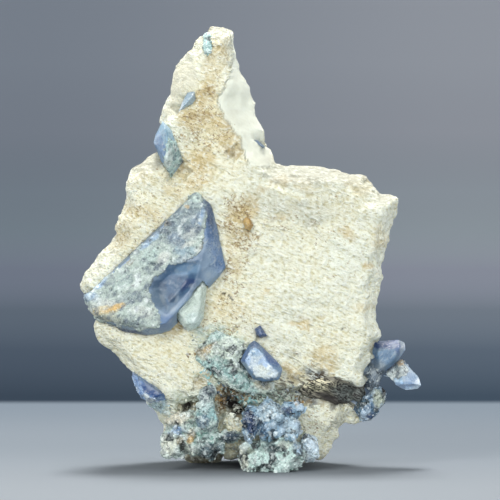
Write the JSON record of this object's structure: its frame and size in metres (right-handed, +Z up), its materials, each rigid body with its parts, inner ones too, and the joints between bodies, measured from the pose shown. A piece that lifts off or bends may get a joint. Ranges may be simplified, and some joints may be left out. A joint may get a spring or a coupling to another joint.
{
  "type": "benitoite specimen",
  "caption": "Cream-white natrolite slab with a tall spire, blue benitoite crystals on its front and a foot of blue-green blueschist crust.",
  "frame": {"origin": "on the ground plane, under the middle of the specimen's bounding box", "axes": "+Z up along the spire, the crystal-bearing front faces -Y, +X to the right seen from the front"},
  "size_m": [0.0552, 0.025, 0.0713],
  "materials": {
    "natrolite": "matte",
    "benitoite_blue": "gloss",
    "benitoite_pale": "satin",
    "benitoite_dark": "gloss",
    "joaquinite": "satin",
    "blueschist": "matte",
    "mint_crust": "matte",
    "fibrous_dark": "matte"
  },
  "bodies": {
    "root": {"natrolite_matrix": "natrolite", "benitoite_main_crystal": "benitoite_blue", "benitoite_pale_fragment": "benitoite_pale", "benitoite_upper_left": "benitoite_blue", "benitoite_pale_sliver": "benitoite_pale", "benitoite_spire_fleck": "benitoite_dark", "benitoite_small_dark": "benitoite_dark", "benitoite_lower_middle": "benitoite_blue", "benitoite_lower_left": "benitoite_blue", "benitoite_head_crystal": "benitoite_blue", "benitoite_arm_crystal": "benitoite_pale", "benitoite_lower_right": "benitoite_dark", "benitoite_lower_column": "benitoite_blue", "joaquinite_grain": "joaquinite", "blueschist_mint_crust": "mint_crust", "blueschist_blue_white_lump": "blueschist", "blueschist_left_cluster": "blueschist", "blueschist_crust": "blueschist", "blueschist_top_patch": "mint_crust", "fibrous_seam": "fibrous_dark"}
  },
  "joints": []
}
